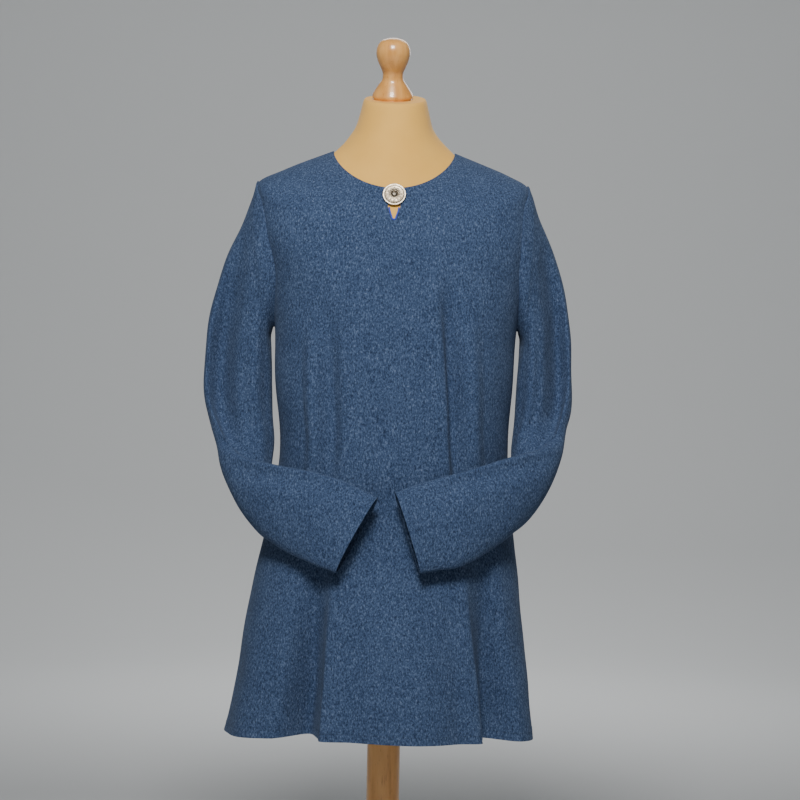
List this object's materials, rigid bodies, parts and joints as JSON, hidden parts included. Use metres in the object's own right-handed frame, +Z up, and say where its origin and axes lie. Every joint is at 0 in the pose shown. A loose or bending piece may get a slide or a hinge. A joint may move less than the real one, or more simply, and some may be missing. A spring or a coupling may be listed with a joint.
{
  "type": "viking tunic on dress form",
  "caption": "Long-sleeved wool tunic with flared skirt, round neck and keyhole slit, worn by a limbless dress form on a pole and round foot.",
  "frame": {"origin": "middle of the round foot's underside, on the floor", "axes": "+Z up along the pole, -Y to the front of the tunic, +X to the right of someone who looks at the front"},
  "size_m": [0.6247, 0.3982, 1.6104],
  "materials": {
    "wool": "heathered blue wool twill, matt",
    "binding": "bright blue binding",
    "button_metal": "antique silvered relief",
    "jersey": "cream cotton jersey",
    "turned_wood": "varnished beech"
  },
  "bodies": {
    "root": {"front_panel": "wool", "back_panel": "wool", "gore_left": "wool", "gore_right": "wool", "sleeve_left": "wool", "sleeve_right": "wool", "slit_edging": "binding", "button": "button_metal", "form_torso": "jersey", "neck_knob": "turned_wood", "pole": "turned_wood", "base": "turned_wood"}
  },
  "joints": []
}
